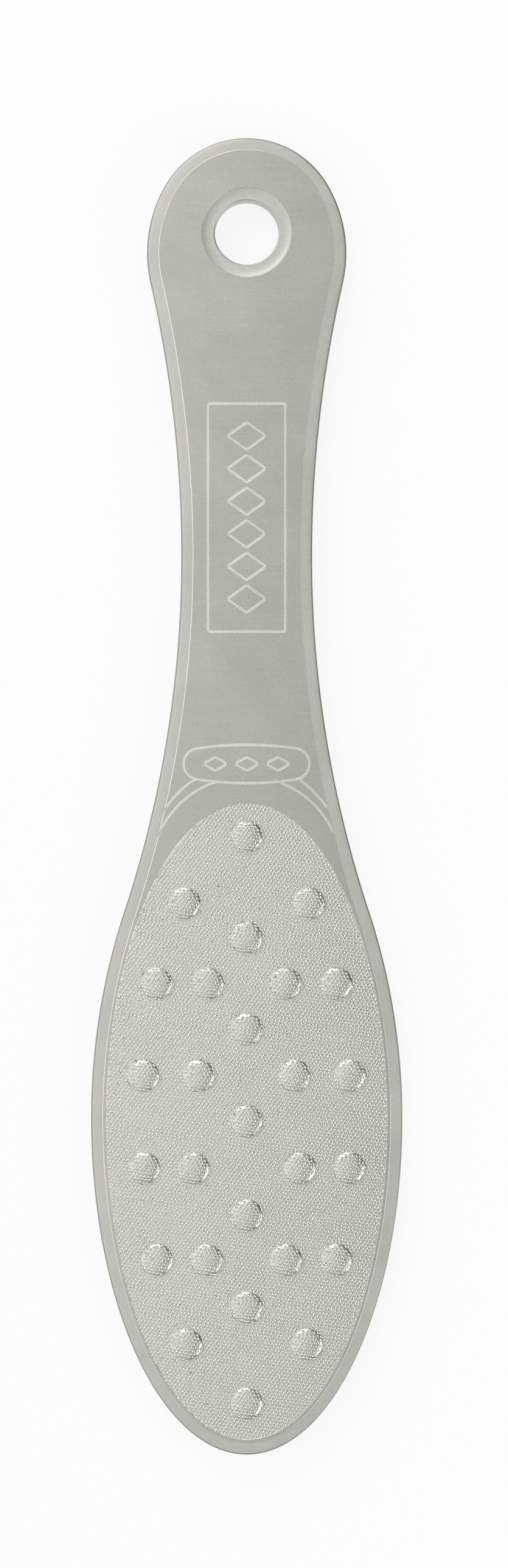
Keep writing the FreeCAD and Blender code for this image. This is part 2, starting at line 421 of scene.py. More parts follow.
LOWER_TURN = math.asin(WAIST_TO_HEAD / (SHOULDER_RADIUS + LOWER_RADIUS))
UPPER_TURN = math.asin(END_TO_WAIST / (END_RADIUS + UPPER_RADIUS))
CAP_TURN = math.atan2(CAP_TO_END_WIDEST, END_RADIUS - END_HALF)


def sweep(centre, radius, grow, start, end, inset):
    """Points of an arc, without the last. An inset adds grow times itself to the radius."""
    count = math.ceil(abs(end - start) * radius / OUTLINE_STEP)
    turns = [start + (end - start) * i / count for i in range(count)]
    reach = radius + grow * inset
    return [(centre[0] + reach * math.cos(t), centre[1] + reach * math.sin(t)) for t in turns]


def outline(inset):
    """The file's outline, anticlockwise from the right of the head, moved inwards by inset."""
    shoulder = (HEAD_HALF - SHOULDER_RADIUS, HEAD_Y)
    lower = (WAIST_HALF + LOWER_RADIUS, WAIST_Y)
    upper = (WAIST_HALF + UPPER_RADIUS, WAIST_Y)
    end = (END_HALF - END_RADIUS, WIDEST_END_Y)
    side = sweep(shoulder, SHOULDER_RADIUS, -1, 0.0, LOWER_TURN, inset)
    side += sweep(lower, LOWER_RADIUS, 1, math.pi + LOWER_TURN, math.pi, inset)
    side += sweep(upper, UPPER_RADIUS, 1, math.pi, math.pi - UPPER_TURN, inset)
    side += sweep(end, END_RADIUS, -1, -UPPER_TURN, CAP_TURN, inset)
    side += sweep((0.0, HOLE_Y), CAP_RADIUS, -1, CAP_TURN, math.pi / 2, inset)
    top = [(0.0, HOLE_Y + CAP_RADIUS - inset)]
    tip = sweep((0.0, 0.0), TIP_LENGTH, 0, math.pi, 2 * math.pi, inset)[1:]
    across, along = (HEAD_HALF - inset) / TIP_LENGTH, (TIP_LENGTH - inset) / TIP_LENGTH
    tip = [(x * across, HEAD_Y + y * along) for x, y in tip]
    return side + top + [(-x, y) for x, y in reversed(side)] + tip


def ellipse(half_width, half_length, centre_y, count):
    """Points around an ellipse on the centre line."""
    turns = [2 * math.pi * i / count for i in range(count)]
    return [(half_width * math.cos(t), centre_y + half_length * math.sin(t)) for t in turns]


print("outline of", len(outline(0.0)), "points")

# %% [markdown]
# ## The pressed domes
#
# The oval pad carries 27 round domes, pressed up from behind. They are steep at the foot and gently
# round on top, so a slice of a ball would look too soft. A geometry tree bends a small grid into one
# such dome: the grid's columns become directions round it, and its rows become rings from the top down
# to a foot that flows into the sheet. Then it stands a copy on every centre, square to the crown.

# %% Centres of the domes
# Rows of domes as shares of the pad's half axes: place along the pad, and places across it.
DOME_ROW_SHARES = (
    (0.895, (0.0,)),
    (0.685, (0.445,)),
    (0.577, (0.0,)),
    (0.433, (0.278, 0.643)),
    (0.290, (0.0,)),
    (0.143, (0.342, 0.738)),
    (0.0, (0.0,)),
    (-0.148, (0.381, 0.733)),
    (-0.296, (0.0,)),
    (-0.437, (0.283, 0.641)),
    (-0.586, (0.0,)),
    (-0.702, (0.431,)),
    (-0.888, (0.0,)),
)


def wire(name, points, edges=()):
    """A mesh of points, and of edges between them if any are given."""
    mesh = bpy.data.meshes.new(name)
    mesh.from_pydata(points, edges, [])
    return mesh


def dome_centres():
    """A mesh with one point at the middle of each dome."""
    places = []
    for along, across in DOME_ROW_SHARES:
        for share in sorted({s * side for s in across for side in (-1, 1)}):
            x = share * PAD_HALF_WIDTH
            places.append((x, PAD_Y + along * PAD_HALF_LENGTH, crown(x)))
    return wire("dome_centres", places)


DOMES = dome_centres()
print("domes:", len(DOMES.vertices))

# %% Tree of the domes
FOOT_REACH = 1.14               # outer ring of a dome, as a share of its radius
DIP_POWER = 20.0                # high, so that only the last ring dips under the sheet
MERGE = 1e-6


def one_dome(tree, given):
    """A grid bent into a dome. Its last row closes the underside."""
    rows = calc("ADD", given["Rings"], 1.0)
    grid = out(
        tree, "GeometryNodeMeshGrid",
        {"Size X": 1.0, "Size Y": 1.0, "Vertices X": calc("ADD", given["Segments"], 1.0),
         "Vertices Y": calc("ADD", rows, 1.0)}
    )
    square = position(tree)
    turn = calc("MULTIPLY", square["X"], math.tau)
    row = calc("MULTIPLY", calc("ADD", square["Y"], 0.5), rows)
    closing = calc("GREATER_THAN", row, calc("ADD", given["Rings"], 0.5))
    open_row = calc("SUBTRACT", 1.0, closing)
    share = calc("MINIMUM", calc("DIVIDE", row, given["Rings"]), 1.0)
    bow = calc("SINE", calc("MULTIPLY", share, math.pi / 2))
    reach = calc("MULTIPLY", bow, FOOT_REACH)
    left = calc("MAXIMUM", calc("SUBTRACT", 1.0, calc("MULTIPLY", reach, reach)), 0.0)
    cap = calc("MULTIPLY", calc("SQRT", left), given["Dome height"])
    rise = calc("SMOOTH_MAX", cap, 0.0, given["Foot ease"])
    dip = calc("MULTIPLY", calc("POWER", share, DIP_POWER), given["Sink"])
    level = calc("MULTIPLY", calc("SUBTRACT", rise, dip), open_row)
    level = calc("SUBTRACT", level, calc("MULTIPLY", closing, given["Sink"]))
    radius = calc("MULTIPLY", calc("MULTIPLY", reach, given["Dome radius"]), open_row)
    x = calc("MULTIPLY", radius, calc("COSINE", turn))
    y = calc("MULTIPLY", radius, calc("SINE", turn))
    bent = vector(X=x, Y=y, Z=level)
    moved = out(tree, "GeometryNodeSetPosition", {"Geometry": grid, "Position": bent})
    return out(tree, "GeometryNodeMergeByDistance", {"Geometry": moved, "Distance": MERGE})


def finish_tree(tree, geometry, finish, end):
    """The common ending of a tree: smooth shading, real geometry and a finish."""
    smooth = out(tree, "GeometryNodeSetShadeSmooth", {"Geometry": geometry})
    real = out(tree, "GeometryNodeRealizeInstances", {"Geometry": smooth})
    coated = out(tree, "GeometryNodeSetMaterial", {"Geometry": real, "Material": finish})
    tree.links.new(coated, end.inputs["Geometry"])


def dome_tree():
    """A closed dome at every point of the input, leaning with the crown."""
    tree, start, end = geometry_tree("pressed_domes", {
        FLOAT: ["Dome radius", "Dome height", "Foot ease", "Sink", "Crown radius"],
        INTEGER: ["Segments", "Rings"],
        MATERIAL: ["Finish"],
    })
    given = start.outputs
    away = vector(X=position(tree)["X"], Z=given["Crown radius"])
    lean = out(tree, "FunctionNodeAlignRotationToVector", {"Vector": away}, axis="Z")
    copies = out(
        tree, "GeometryNodeInstanceOnPoints",
        {"Points": given["Geometry"], "Instance": one_dome(tree, given), "Rotation": lean}
    )
    finish_tree(tree, copies, given["Finish"], end)
    return tree


DOME_TREE = dome_tree()
print("tree:", DOME_TREE.name, "of", len(DOME_TREE.nodes), "nodes")

# %% The domes of a pad
DOME_RADIUS = 0.00292
DOME_EASE = 0.00012             # softness of the turn from a dome's flank into the sheet
DOME_SINK = 0.00012             # depth of its underside below the face

DOME_BODIES = run_tree(DOME_TREE, DOMES, {
    "Dome radius": DOME_RADIUS,
    "Dome height": FACE_RISE - FLOOR_LEVEL - ETCH,
    "Foot ease": DOME_EASE,
    "Sink": DOME_SINK,
    "Crown radius": CROWN_RADIUS,
    "Segments": 36,
    "Rings": 14,
    "Finish": PAD,
})
print("domes:", len(DOME_BODIES.polygons), "faces, top at", max(v.co.z for v in DOME_BODIES.vertices))

# %% [markdown]
# ## The sheet of a face plate
#
# The pad sits in a shallow tray: a side wall, a rounded edge, the frosted border, a hidden floor under
# the lands, and a dished ring that rolls over into the bore. It could be cut from a block with
# Booleans, but then the rounded edges would be hard to keep clean. Here every part is a band between
# two loops of points, and the leftover floor is filled and sliced, so that it follows the crown.

# %% Loops, bands and fills
SLICE = 0.0012                  # spacing of the slices that bend a floor to the crown
SLICE_NEAR = 1e-7               # corners this near to a slice count as on it


def loop(shell, points, height, on_crown):
    """A ring of vertices, at a height over the middle plane or over the crowned face."""
    return [shell.verts.new((x, y, height + (crown(x) if on_crown else 0.0))) for x, y in points]


def band(shell, first, second, finish):
    """Quads between two rings of as many points."""
    for i in range(len(first)):
        face = shell.faces.new((first[i - 1], first[i], second[i], second[i - 1]))
        face.material_index = finish


def ring_edges(shell, ring):
    """The edges round a ring of vertices, made where there are none yet."""
    pairs = [(ring[i - 1], ring[i]) for i in range(len(ring))]
    return [shell.edges.get(pair) or shell.edges.new(pair) for pair in pairs]


def fill(shell, edges, finish):
    """Flat faces between closed rings of edges."""
    filled = bmesh.ops.triangle_fill(shell, edges=edges, use_beauty=True, normal=(0.0, 0.0, 1.0))
    faces = [part for part in filled["geom"] if isinstance(part, bmesh.types.BMFace)]
    for face in faces:
        face.material_index = finish
    return faces


def slice_faces(shell, faces):
    """Cuts faces by planes across X, and gives back the parts."""
    parts = set(faces)
    steps = math.floor(HEAD_HALF / SLICE)
    for step in range(-steps, steps + 1):
        edges = {edge for face in parts for edge in face.edges}
        corners = {corner for face in parts for corner in face.verts}
        cut = bmesh.ops.bisect_plane(
            shell, geom=list(parts) + list(edges) + list(corners), dist=SLICE_NEAR,
            plane_co=(step * SLICE, 0.0, 0.0), plane_no=(1.0, 0.0, 0.0)
        )
        parts = {part for part in cut["geom"] if isinstance(part, bmesh.types.BMFace)}
    return parts


def bend(shell, faces, height):
    """Slices faces and lays them on the crown."""
    for corner in {corner for face in slice_faces(shell, faces) for corner in face.verts}:
        corner.co.z = crown(corner.co.x) + height


def open_edges(shell):
    """How many edges don't have a face on each side."""
    return sum(not edge.is_manifold for edge in shell.edges)


def as_mesh(shell, name):
    """A shell as a plain mesh. The shell itself is given up."""
    mesh = bpy.data.meshes.new(name)
    shell.to_mesh(mesh)
    shell.free()
    return mesh


print("slices:", 2 * math.floor(HEAD_HALF / SLICE) + 1)

# %% Wall, border and ring
EDGE_ROUND = 0.00034            # radius where the face turns down into the wall
EDGE_TURN = math.radians(80.0)  # how far it turns
EDGE_FALL = 0.00007             # how far the border falls from the lands to the edge
FALL_POWER = 1.5                # over 1: steepest at the edge
SEAM_BREAK = 0.00006            # broken edge where the plates meet
TUCK = 0.0003                   # how far floors run on under the lands
ARC_STEPS = 5
BORDER_STEPS = 4


def wall_and_border(shell):
    """The wall, the rounded edge and the border. Gives back the rings at the seam and inside."""
    seam = loop(shell, outline(SEAM_BREAK), 0.0, False)
    edge = [seam, loop(shell, outline(0.0), SEAM_BREAK, False)]
    for step in range(ARC_STEPS + 1):
        turn = EDGE_TURN * step / ARC_STEPS
        inset = EDGE_ROUND * (1 - math.cos(turn))
        edge.append(loop(shell, outline(inset), EDGE_ROUND * (math.sin(turn) - 1) - EDGE_FALL, True))
    border = [edge[-1]]
    for step in range(1, BORDER_STEPS + 1):
        share = step / BORDER_STEPS
        inset = EDGE_ROUND + (RIM_WIDTH - EDGE_ROUND) * share
        border.append(loop(shell, outline(inset), -EDGE_FALL * (1 - share) ** FALL_POWER, True))
    border.append(loop(shell, outline(RIM_WIDTH + TUCK), 0.0, True))
    # The wall and the rounded edge take the edge finish, a painted shade, and the border its frosted finish.
    for rings, finish in ((edge, "edge"), (border, "border")):
        for first, second in zip(rings, rings[1:]):
            band(shell, first, second, FINISH[finish])
    return seam, border[-1]


LIP_ROUND = 0.00025             # where the ring rolls over into the bore
LIP_LEVEL = crown(RING_RADIUS) - DISH_DEPTH
DISH_POWER = 3                  # over 1: steepest at the outside of the ring
DISH_STEPS = 8
RING_POINTS = 120


def circle(radius):
    """Points around the hanging hole."""
    return ellipse(radius, radius, HOLE_Y, RING_POINTS)


def dished_ring(shell):
    """The ring and the bore's wall. Gives back the rings outside and at the seam."""
    rings = [loop(shell, circle(RING_RADIUS + TUCK), 0.0, True)]
    for step in range(DISH_STEPS + 1):
        share = step / DISH_STEPS
        radius = RING_RADIUS - (RING_WIDTH - LIP_ROUND) * share
        drop = (1 - (1 - share) ** DISH_POWER) * DISH_DEPTH
        rings.append(loop(shell, circle(radius), -drop, True))
    for step in range(1, ARC_STEPS + 1):
        turn = math.pi / 2 * step / ARC_STEPS
        radius = BORE_RADIUS + LIP_ROUND * (1 - math.sin(turn))
        rings.append(loop(shell, circle(radius), LIP_LEVEL - LIP_ROUND * (1 - math.cos(turn)), False))
    rings.append(loop(shell, circle(BORE_RADIUS), SEAM_BREAK, False))
    rings.append(loop(shell, circle(BORE_RADIUS + SEAM_BREAK), 0.0, False))
    for first, second in zip(rings, rings[1:]):
        band(shell, first, second, FINISH["ring"])
    return rings[0], rings[-1]


print("lip of the bore", round(LIP_LEVEL, 6), "over the middle plane")

# %% The tray around the pad
PAD_POINTS = 420


def inside(shell, seam, bore_seam):
    """The hollow side of the sheet, from the wall's seam to the bore's. Gives back its ceiling."""
    wall = [loop(shell, outline(SHEET), 0.0, False), loop(shell, outline(SHEET), -SHEET, True)]
    socket = circle(BORE_RADIUS + SHEET)
    throat = [
        loop(shell, circle(RING_RADIUS + TUCK), -SHEET, True),
        loop(shell, socket, LIP_LEVEL - SHEET, False),
        loop(shell, socket, 0.0, False),
    ]
    backs = [(seam, wall[0]), (wall[0], wall[1]), (throat[2], bore_seam)] + list(zip(throat, throat[1:]))
    for first, second in backs:
        band(shell, first, second, FINISH["border"])
    return fill(shell, ring_edges(shell, wall[1]) + ring_edges(shell, throat[0]), FINISH["border"])


def pad_floor(shell):
    """The flat of the pad under its domes. Gives back its ring and its faces."""
    rim = ellipse(PAD_HALF_WIDTH + TUCK, PAD_HALF_LENGTH + TUCK, PAD_Y, PAD_POINTS)
    ring = loop(shell, rim, 0.0, True)
    return ring, fill(shell, ring_edges(shell, ring), FINISH["pad"])


def tray():
    """The whole etched sheet as one closed shell."""
    shell = bmesh.new()
    pad = pad_floor(shell)[0]
    seam, border = wall_and_border(shell)
    ring, bore_seam = dished_ring(shell)
    rings = [edge for each in (pad, border, ring) for edge in ring_edges(shell, each)]
    # The floor between the lands takes the line finish, a painted highlight.
    floor = fill(shell, rings, FINISH["line"])
    ceiling = inside(shell, seam, bore_seam)
    bend(shell, floor, 0.0)
    bend(shell, [face for face in shell.faces if face.material_index == FINISH["pad"]], 0.0)
    bend(shell, ceiling, -SHEET)
    return shell


TRAY = tray()
print("tray:", len(TRAY.faces), "faces, open edges", open_edges(TRAY))
sheet_faces = len(TRAY.faces)
TRAY.from_mesh(DOME_BODIES)
TRAY.faces.ensure_lookup_table()
for face in TRAY.faces[sheet_faces:]:
    face.material_index = FINISH["pad"]
bmesh.ops.recalc_face_normals(TRAY, faces=TRAY.faces)
print("with domes:", len(TRAY.faces), "faces, open edges", open_edges(TRAY))

# %% [markdown]
# ## The polished lands
#
# The lands are what the acid left: a slab over the whole face, less the border, the ring and the pad,
# with a frame, a rounded plaque and two pairs of curved lines cut through it. An etched wall leans,
# and that lean is what catches the light as a thin bright line; the walls are also painted bright, a
# painted highlight. So the slab's own walls lean, and the lines are cut with a wedge that a geometry
# tree sweeps along each path.

# %% Trees that sweep a wedge along lines
CORNER_POINTS = 3
LINE_SIZES = ["Foot width", "Top width", "Height", "Corner"]


def rounded(tree, curve, given):
    """A curve with its corners rounded."""
    corners = {"Radius": given["Corner"], "Limit Radius": True, "Count": CORNER_POINTS}
    return out(tree, "GeometryNodeFilletCurve", {"Curve": curve, **corners}, mode="POLY")


def wedge(tree, curve, given):
    """A wedge-shaped bar along a curve, wider at its top."""
    upright = out(tree, "GeometryNodeSetCurveNormal", {"Curve": curve}, mode="Z_UP")
    profile = out(
        tree, "GeometryNodeCurvePrimitiveQuadrilateral",
        {"Bottom Width": given["Top width"], "Top Width": given["Foot width"], "Height": given["Height"],
         "Offset": 0.0},
        mode="TRAPEZOID"
    )
    bar = {"Curve": upright, "Profile Curve": profile, "Fill Caps": True}
    return out(tree, "GeometryNodeCurveToMesh", bar)


def etched_line_tree():
    """Wedges along the edges of the input mesh, with their corners a little rounded."""
    tree, start, end = geometry_tree("etched_line", {FLOAT: LINE_SIZES, MATERIAL: ["Finish"]})
    given = start.outputs
    curve = rounded(tree, out(tree, "GeometryNodeMeshToCurve", {"Mesh": given["Geometry"]}), given)
    finish_tree(tree, wedge(tree, curve, given), given["Finish"], end)
    return tree


def lozenge_tree():
    """An outlined lozenge, drawn with the same wedge, at every point of the input mesh."""
    tree, start, end = geometry_tree(
        "etched_lozenges", {FLOAT: LINE_SIZES + ["Lozenge width", "Half height"], MATERIAL: ["Finish"]}
    )
    given = start.outputs
    kite = out(
        tree, "GeometryNodeCurvePrimitiveQuadrilateral",
        {"Width": given["Lozenge width"], "Bottom Height": given["Half height"],
         "Top Height": given["Half height"]},
        mode="KITE"
    )
    copies = out(
        tree, "GeometryNodeInstanceOnPoints",
        {"Points": given["Geometry"], "Instance": rounded(tree, kite, given)}
    )
    real = out(tree, "GeometryNodeRealizeInstances", {"Geometry": copies})
    finish_tree(tree, wedge(tree, real, given), given["Finish"], end)
    return tree


LINES = etched_line_tree()
LOZENGES = lozenge_tree()
print("trees:", LINES.name, LOZENGES.name)

# %% Paths of the etched lines
FRAME_Y, FRAME_WIDTH, FRAME_HEIGHT = 0.0508, 0.01406, 0.04157
PLAQUE_Y, PLAQUE_HALF_WIDTH, PLAQUE_HALF_HEIGHT = 0.00592, 0.01146, 0.00349
PLAQUE_CORNER, PLAQUE_BOW = 0.0028, 0.0606  # radius of its ends' corners and of its long edges
LINE_STEP = 0.0005


def arc_line(centre, radius, start, end):
    """Points along an arc, ends included."""
    count = max(4, round(abs(end - start) * radius / LINE_STEP))
    turns = [start + (end - start) * i / count for i in range(count + 1)]
    return [(centre[0] + radius * math.cos(t), centre[1] + radius * math.sin(t)) for t in turns]


def frame_line():
    """The four corners of the frame, anticlockwise."""
    half_width, half_height = FRAME_WIDTH / 2, FRAME_HEIGHT / 2
    corners = ((1, -1), (1, 1), (-1, 1), (-1, -1))
    return [(x * half_width, FRAME_Y + y * half_height) for x, y in corners]


def plaque_line():
    """A plaque with bowed long edges and round ends, anticlockwise."""
    bow_centre = PLAQUE_BOW - PLAQUE_HALF_HEIGHT
    corner_x = PLAQUE_HALF_WIDTH - PLAQUE_CORNER
    corner_y = math.sqrt((PLAQUE_BOW - PLAQUE_CORNER) ** 2 - corner_x ** 2) - bow_centre
    meet = math.atan2(corner_y + bow_centre, corner_x)
    right = arc_line((corner_x, PLAQUE_Y + corner_y), PLAQUE_CORNER, 0.0, meet)
    top = arc_line((0.0, PLAQUE_Y - bow_centre), PLAQUE_BOW, meet, math.pi / 2)
    quarter = right + top[1:]
    upper = quarter + [(-x, y) for x, y in reversed(quarter[:-1])]
    lower = [(x, 2 * PLAQUE_Y - y) for x, y in reversed(upper)]
    return upper + lower


BRACE_RADII = (0.0175, 0.0174)  # the outer and the inner curved line
BRACE_YS = (-0.01165, -0.0138)
BRACE_XS = (0.0092, 0.0053)     # where each leaves the plaque
BRACE_ENDS = (31.0, 22.0)       # where each opens into the border, in degrees


def brace_lines():
    """The curved lines from the plaque down to the border, on both sides."""
    lines = []
    for radius, y, x, end in zip(BRACE_RADII, BRACE_YS, BRACE_XS, BRACE_ENDS):
        start = math.acos(x / radius)
        line = arc_line((0.0, y), radius, start, math.radians(end))
        lines += [line, [(-x, y) for x, y in line]]
    return lines


def raised(places):
    """Places on the flat sheet, at half the height of the lands."""
    return [(x, y, ETCH / 2) for x, y in places]


def line_mesh(name, lines, closed):
    """A mesh of edges along some lines."""
    points, edges = [], []
    for line in lines:
        first = len(points)
        points += raised(line)
        edges += [(first + i, first + i + 1) for i in range(len(line) - 1)]
        if closed:
            edges.append((first + len(line) - 1, first))
    return wire(name, points, edges)


print("points of the plaque:", len(plaque_line()), "and braces:", [len(line) for line in brace_lines()])

# %% Cutters for the lines
LEAN = 0.00006                  # half of an etched wall's width, seen from above
LINE_WIDTH = 0.00038            # groove, halfway up its walls
CUT_HEIGHT = 0.0003
CORNER_ROUND = 0.0004
SPREAD = 2 * LEAN / ETCH * CUT_HEIGHT   # how much wider the wedge is at its top than halfway
LOZENGE_COUNT = 6
LOZENGE_SHARES = (0.5, 0.42)    # width in the frame's, and half height in the pitch
GRADE_COUNTS = {"coarse": 3, "fine": 5}     # lozenges on the plaque
GRADE_SPAN = 1.5                # length of their row, in half widths of the plaque
GRADE_SHARES = (0.8, 0.35)      # width in the pitch, and half height in the plaque's

WEDGE = {
    "Foot width": LINE_WIDTH - SPREAD,
    "Top width": LINE_WIDTH + SPREAD,
    "Height": CUT_HEIGHT,
    "Corner": CORNER_ROUND,
    "Finish": WALL_HIGHLIGHT,
}
SMOOTH_WEDGE = {**WEDGE, "Corner": 0.0}     # for lines that have no corners to round


def evenly(count, pitch):
    """Places in a row, centred on zero."""
    return [pitch * (i - (count - 1) / 2) for i in range(count)]


def lozenges(name, places, width, half_height):
    """Cutters for outlined lozenges of one size."""
    size = {"Lozenge width": width, "Half height": half_height}
    return run_tree(LOZENGES, wire(name, raised(places)), {**WEDGE, **size})


def frame_lozenges():
    """A column of lozenges down the middle of the frame."""
    pitch = FRAME_HEIGHT / (LOZENGE_COUNT + 1)
    places = [(0.0, FRAME_Y + along) for along in evenly(LOZENGE_COUNT, pitch)]
    width, half_height = LOZENGE_SHARES
    return lozenges("frame_places", places, width * FRAME_WIDTH, half_height * pitch)


def grade_lozenges(face):
    """A row of lozenges on the plaque: few and large for coarse, more and smaller for fine."""
    count = GRADE_COUNTS[face]
    pitch = GRADE_SPAN * PLAQUE_HALF_WIDTH / count
    places = [(across, PLAQUE_Y) for across in evenly(count, pitch)]
    width, half_height = GRADE_SHARES
    return lozenges("grade_places", places, width * pitch, half_height * PLAQUE_HALF_HEIGHT)


CUTTERS = {
    "frame": run_tree(LINES, line_mesh("frame_line", [frame_line()], True), WEDGE),
    "plaque": run_tree(LINES, line_mesh("plaque_line", [plaque_line()], True), SMOOTH_WEDGE),
    "braces": run_tree(LINES, line_mesh("brace_lines", brace_lines(), False), SMOOTH_WEDGE),
    "column": frame_lozenges(),
}
for name, cutter in CUTTERS.items():
    heights = [vertex.co.z for vertex in cutter.vertices]
    print(name, "cutter:", len(cutter.polygons), "faces, z from", min(heights), "to", max(heights))

# %% The slab, its cuts and its bend
RIM_LEAN = 0.00009              # half width of the lands' wall along the border, seen from above
SINK = 0.00003                  # how far lands and teeth reach into the floor
FLAT = 0.99                     # a face whose normal has this much Z is a top, not a wall


def land_slab():
    """The lands before their lines are cut, still flat."""
    slab = bmesh.new()
    pad = [(PAD_HALF_WIDTH + lean, PAD_HALF_LENGTH + lean, PAD_Y, PAD_POINTS) for lean in (-LEAN, LEAN)]
    walls = (
        (outline(RIM_WIDTH - RIM_LEAN), outline(RIM_WIDTH + RIM_LEAN)),
        (ellipse(*pad[0]), ellipse(*pad[1])),
        (circle(RING_RADIUS), circle(RING_RADIUS + 2 * LEAN)),
    )
    feet, tops = [], []
    for low, high in walls:
        feet.append(loop(slab, low, -SINK, False))
        tops.append(loop(slab, high, ETCH, False))
        band(slab, feet[-1], tops[-1], FINISH["wall"])
    for rings in (feet, tops):
        fill(slab, [edge for ring in rings for edge in ring_edges(slab, ring)], FINISH["land"])
    bmesh.ops.recalc_face_normals(slab, faces=slab.faces)
    return as_mesh(slab, "land_slab")


def less(mesh, cutter):
    """A mesh with another taken away from it."""
    worker, tool = (new_object("work", part) for part in (mesh, cutter))
    modifier = worker.modifiers.new("cut", "BOOLEAN")
    modifier.operation = "DIFFERENCE"
    modifier.solver = "MANIFOLD"
    modifier.object = tool
    made = plain_mesh(worker)
    bpy.data.objects.remove(tool)
    return made


def lands(face):
    """The lands of one face, cut and bent over the crown."""
    mesh = land_slab()
    for cutter in list(CUTTERS.values()) + [grade_lozenges(face)]:
        mesh = less(mesh, cutter)
    slab = bmesh.new()
    slab.from_mesh(mesh)
    slice_faces(slab, slab.faces)
    slab.normal_update()
    # Walls take the wall finish, which is painted highlight.
    for land in slab.faces:
        land.material_index = FINISH["land" if abs(land.normal.z) > FLAT else "wall"]
    for corner in slab.verts:
        corner.co.z += crown(corner.co.x)
    print(face, "lands:", len(slab.faces), "faces, open edges", open_edges(slab))
    return as_mesh(slab, face + "_lands")


LANDS = {face: lands(face) for face in GRADE_COUNTS}

# %% [markdown]
# ## Two face plates
#
# A plate is its tray and its lands in one mesh. Both plates are made face up over the middle plane.
# Then the coarse one is lifted to its place, and the fine one is turned over about the file's length.

# %% Plates in their places
PLACES = {
    "coarse": Matrix.Translation((0.0, 0.0, MIDDLE)),
    "fine": Matrix.Translation((0.0, 0.0, MIDDLE)) @ Matrix.Rotation(math.pi, 4, "Y"),
}
CREASE = math.radians(28.0)     # edges that turn more than this stay sharp


def show(name, mesh, face, node):
    """A finished piece of one face's plate, riding on the file."""
    mesh.transform(PLACES[face])
    piece = new_object(name, mesh)
    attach(piece, "root")
    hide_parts(node)
    return piece


def face_plate(face):
    """The tray and the lands of one face as one piece, with all the plate's finishes."""
    whole = TRAY.copy()
    whole.from_mesh(LANDS[face])
    for polygon in whole.faces:
        polygon.smooth = True
    mesh = as_mesh(whole, face + "_plate_skin")
    for finish in PLATE_FINISHES.values():
        mesh.materials.append(finish)
    mesh.set_sharp_from_angle(angle=CREASE)
    return show(face + "_plate_skin", mesh, face, face + "_face_plate")


for face in PLACES:
    plate = face_plate(face)
    print(plate.name, "corners", len(plate.data.vertices), "faces", len(plate.data.polygons))

# %% [markdown]
# ## The teeth
#
# The teeth are what the acid left standing on the pad: small cones with flat tops, in six-sided order,
# none quite in line. They could be a bump in the material, but they cut the outline of every dome and
# catch light one by one, so they are real. A geometry tree lays out a staggered grid, shakes it with a
# fixed seed, drops each point onto the pad and stands a tooth there, square to the metal.

# %% Where the teeth stand
ROW_SHARE = math.sqrt(3) / 2    # rows of a six-sided pattern, as a share of its pitch
ABOVE = 0.01                    # height that points are dropped from


def outside(tree, given):
    """Whether a point is off the pad, or off the stretch of it that is being made."""
    place = position(tree)
    x, y = place["X"], place["Y"]
    across = calc("POWER", calc("DIVIDE", x, given["Half width"]), 2.0)
    run = calc("DIVIDE", calc("SUBTRACT", y, given["Centre y"]), given["Half length"])
    beyond = calc("GREATER_THAN", calc("MULTIPLY_ADD", run, run, across), 1.0)
    below = calc("LESS_THAN", y, given["Low y"])
    above = calc("GREATER_THAN", y, given["High y"])
    return calc("MAXIMUM", beyond, calc("MAXIMUM", below, above))


def scatter(tree, given):
    """A staggered grid, turned and shaken, with only the points inside the pad kept."""
    row_pitch = calc("MULTIPLY", given["Pitch"], ROW_SHARE)
    width = calc("MULTIPLY", calc("SUBTRACT", given["Columns"], 1.0), given["Pitch"])
    length = calc("MULTIPLY", calc("SUBTRACT", given["Rows"], 1.0), row_pitch)
    grid = out(
        tree, "GeometryNodeMeshGrid",
        {"Size X": width, "Size Y": length, "Vertices X": given["Columns"], "Vertices Y": given["Rows"]}
    )
    place = out(tree, "GeometryNodeInputPosition")
    row = calc("ROUND", calc("DIVIDE", position(tree)["Y"], row_pitch))
    half_pitch = calc("DIVIDE", given["Pitch"], 2.0)
    stagger = calc("MULTIPLY", calc("FLOORED_MODULO", row, 2.0), half_pitch)
    staggered = plus(place, vector(X=stagger))
    turned = out(
        tree, "ShaderNodeVectorRotate", {"Vector": staggered, "Angle": given["Turn"]},
        rotation_type="Z_AXIS"
    )
    reach = vector(X=given["Shake"], Y=given["Shake"])
    back = out(tree, "ShaderNodeVectorMath", {0: reach, "Scale": -1.0}, operation="SCALE")
    shake = out(
        tree, "FunctionNodeRandomValue", {0: back, 1: reach, "Seed": given["Seed"]},
        data_type="FLOAT_VECTOR"
    )
    centred = plus(plus(turned, shake), vector(Y=given["Centre y"]))
    moved = out(tree, "GeometryNodeSetPosition", {"Geometry": grid, "Position": centred})
    kept = out(
        tree, "GeometryNodeDeleteGeometry", {"Geometry": moved, "Selection": outside(tree, given)},
        domain="POINT", mode="ALL"
    )
    return out(tree, "GeometryNodeMeshToPoints", {"Mesh": kept})


def drop(tree, points, given):
    """The points on the pad's sheet, and the direction that the sheet faces there."""
    place = position(tree)
    high = vector(X=place["X"], Y=place["Y"], Z=ABOVE)
    ray = add(
        tree, "GeometryNodeRaycast",
        {"Target Geometry": given["Geometry"], "Source Position": high,
         "Ray Direction": (0.0, 0.0, -1.0), "Ray Length": ABOVE}
    ).outputs
    landed = out(
        tree, "GeometryNodeSetPosition", {"Geometry": points, "Position": ray["Hit Position"]}
    )
    return landed, ray["Hit Normal"]


print("rows of teeth are", round(ROW_SHARE, 3), "of their pitch apart")

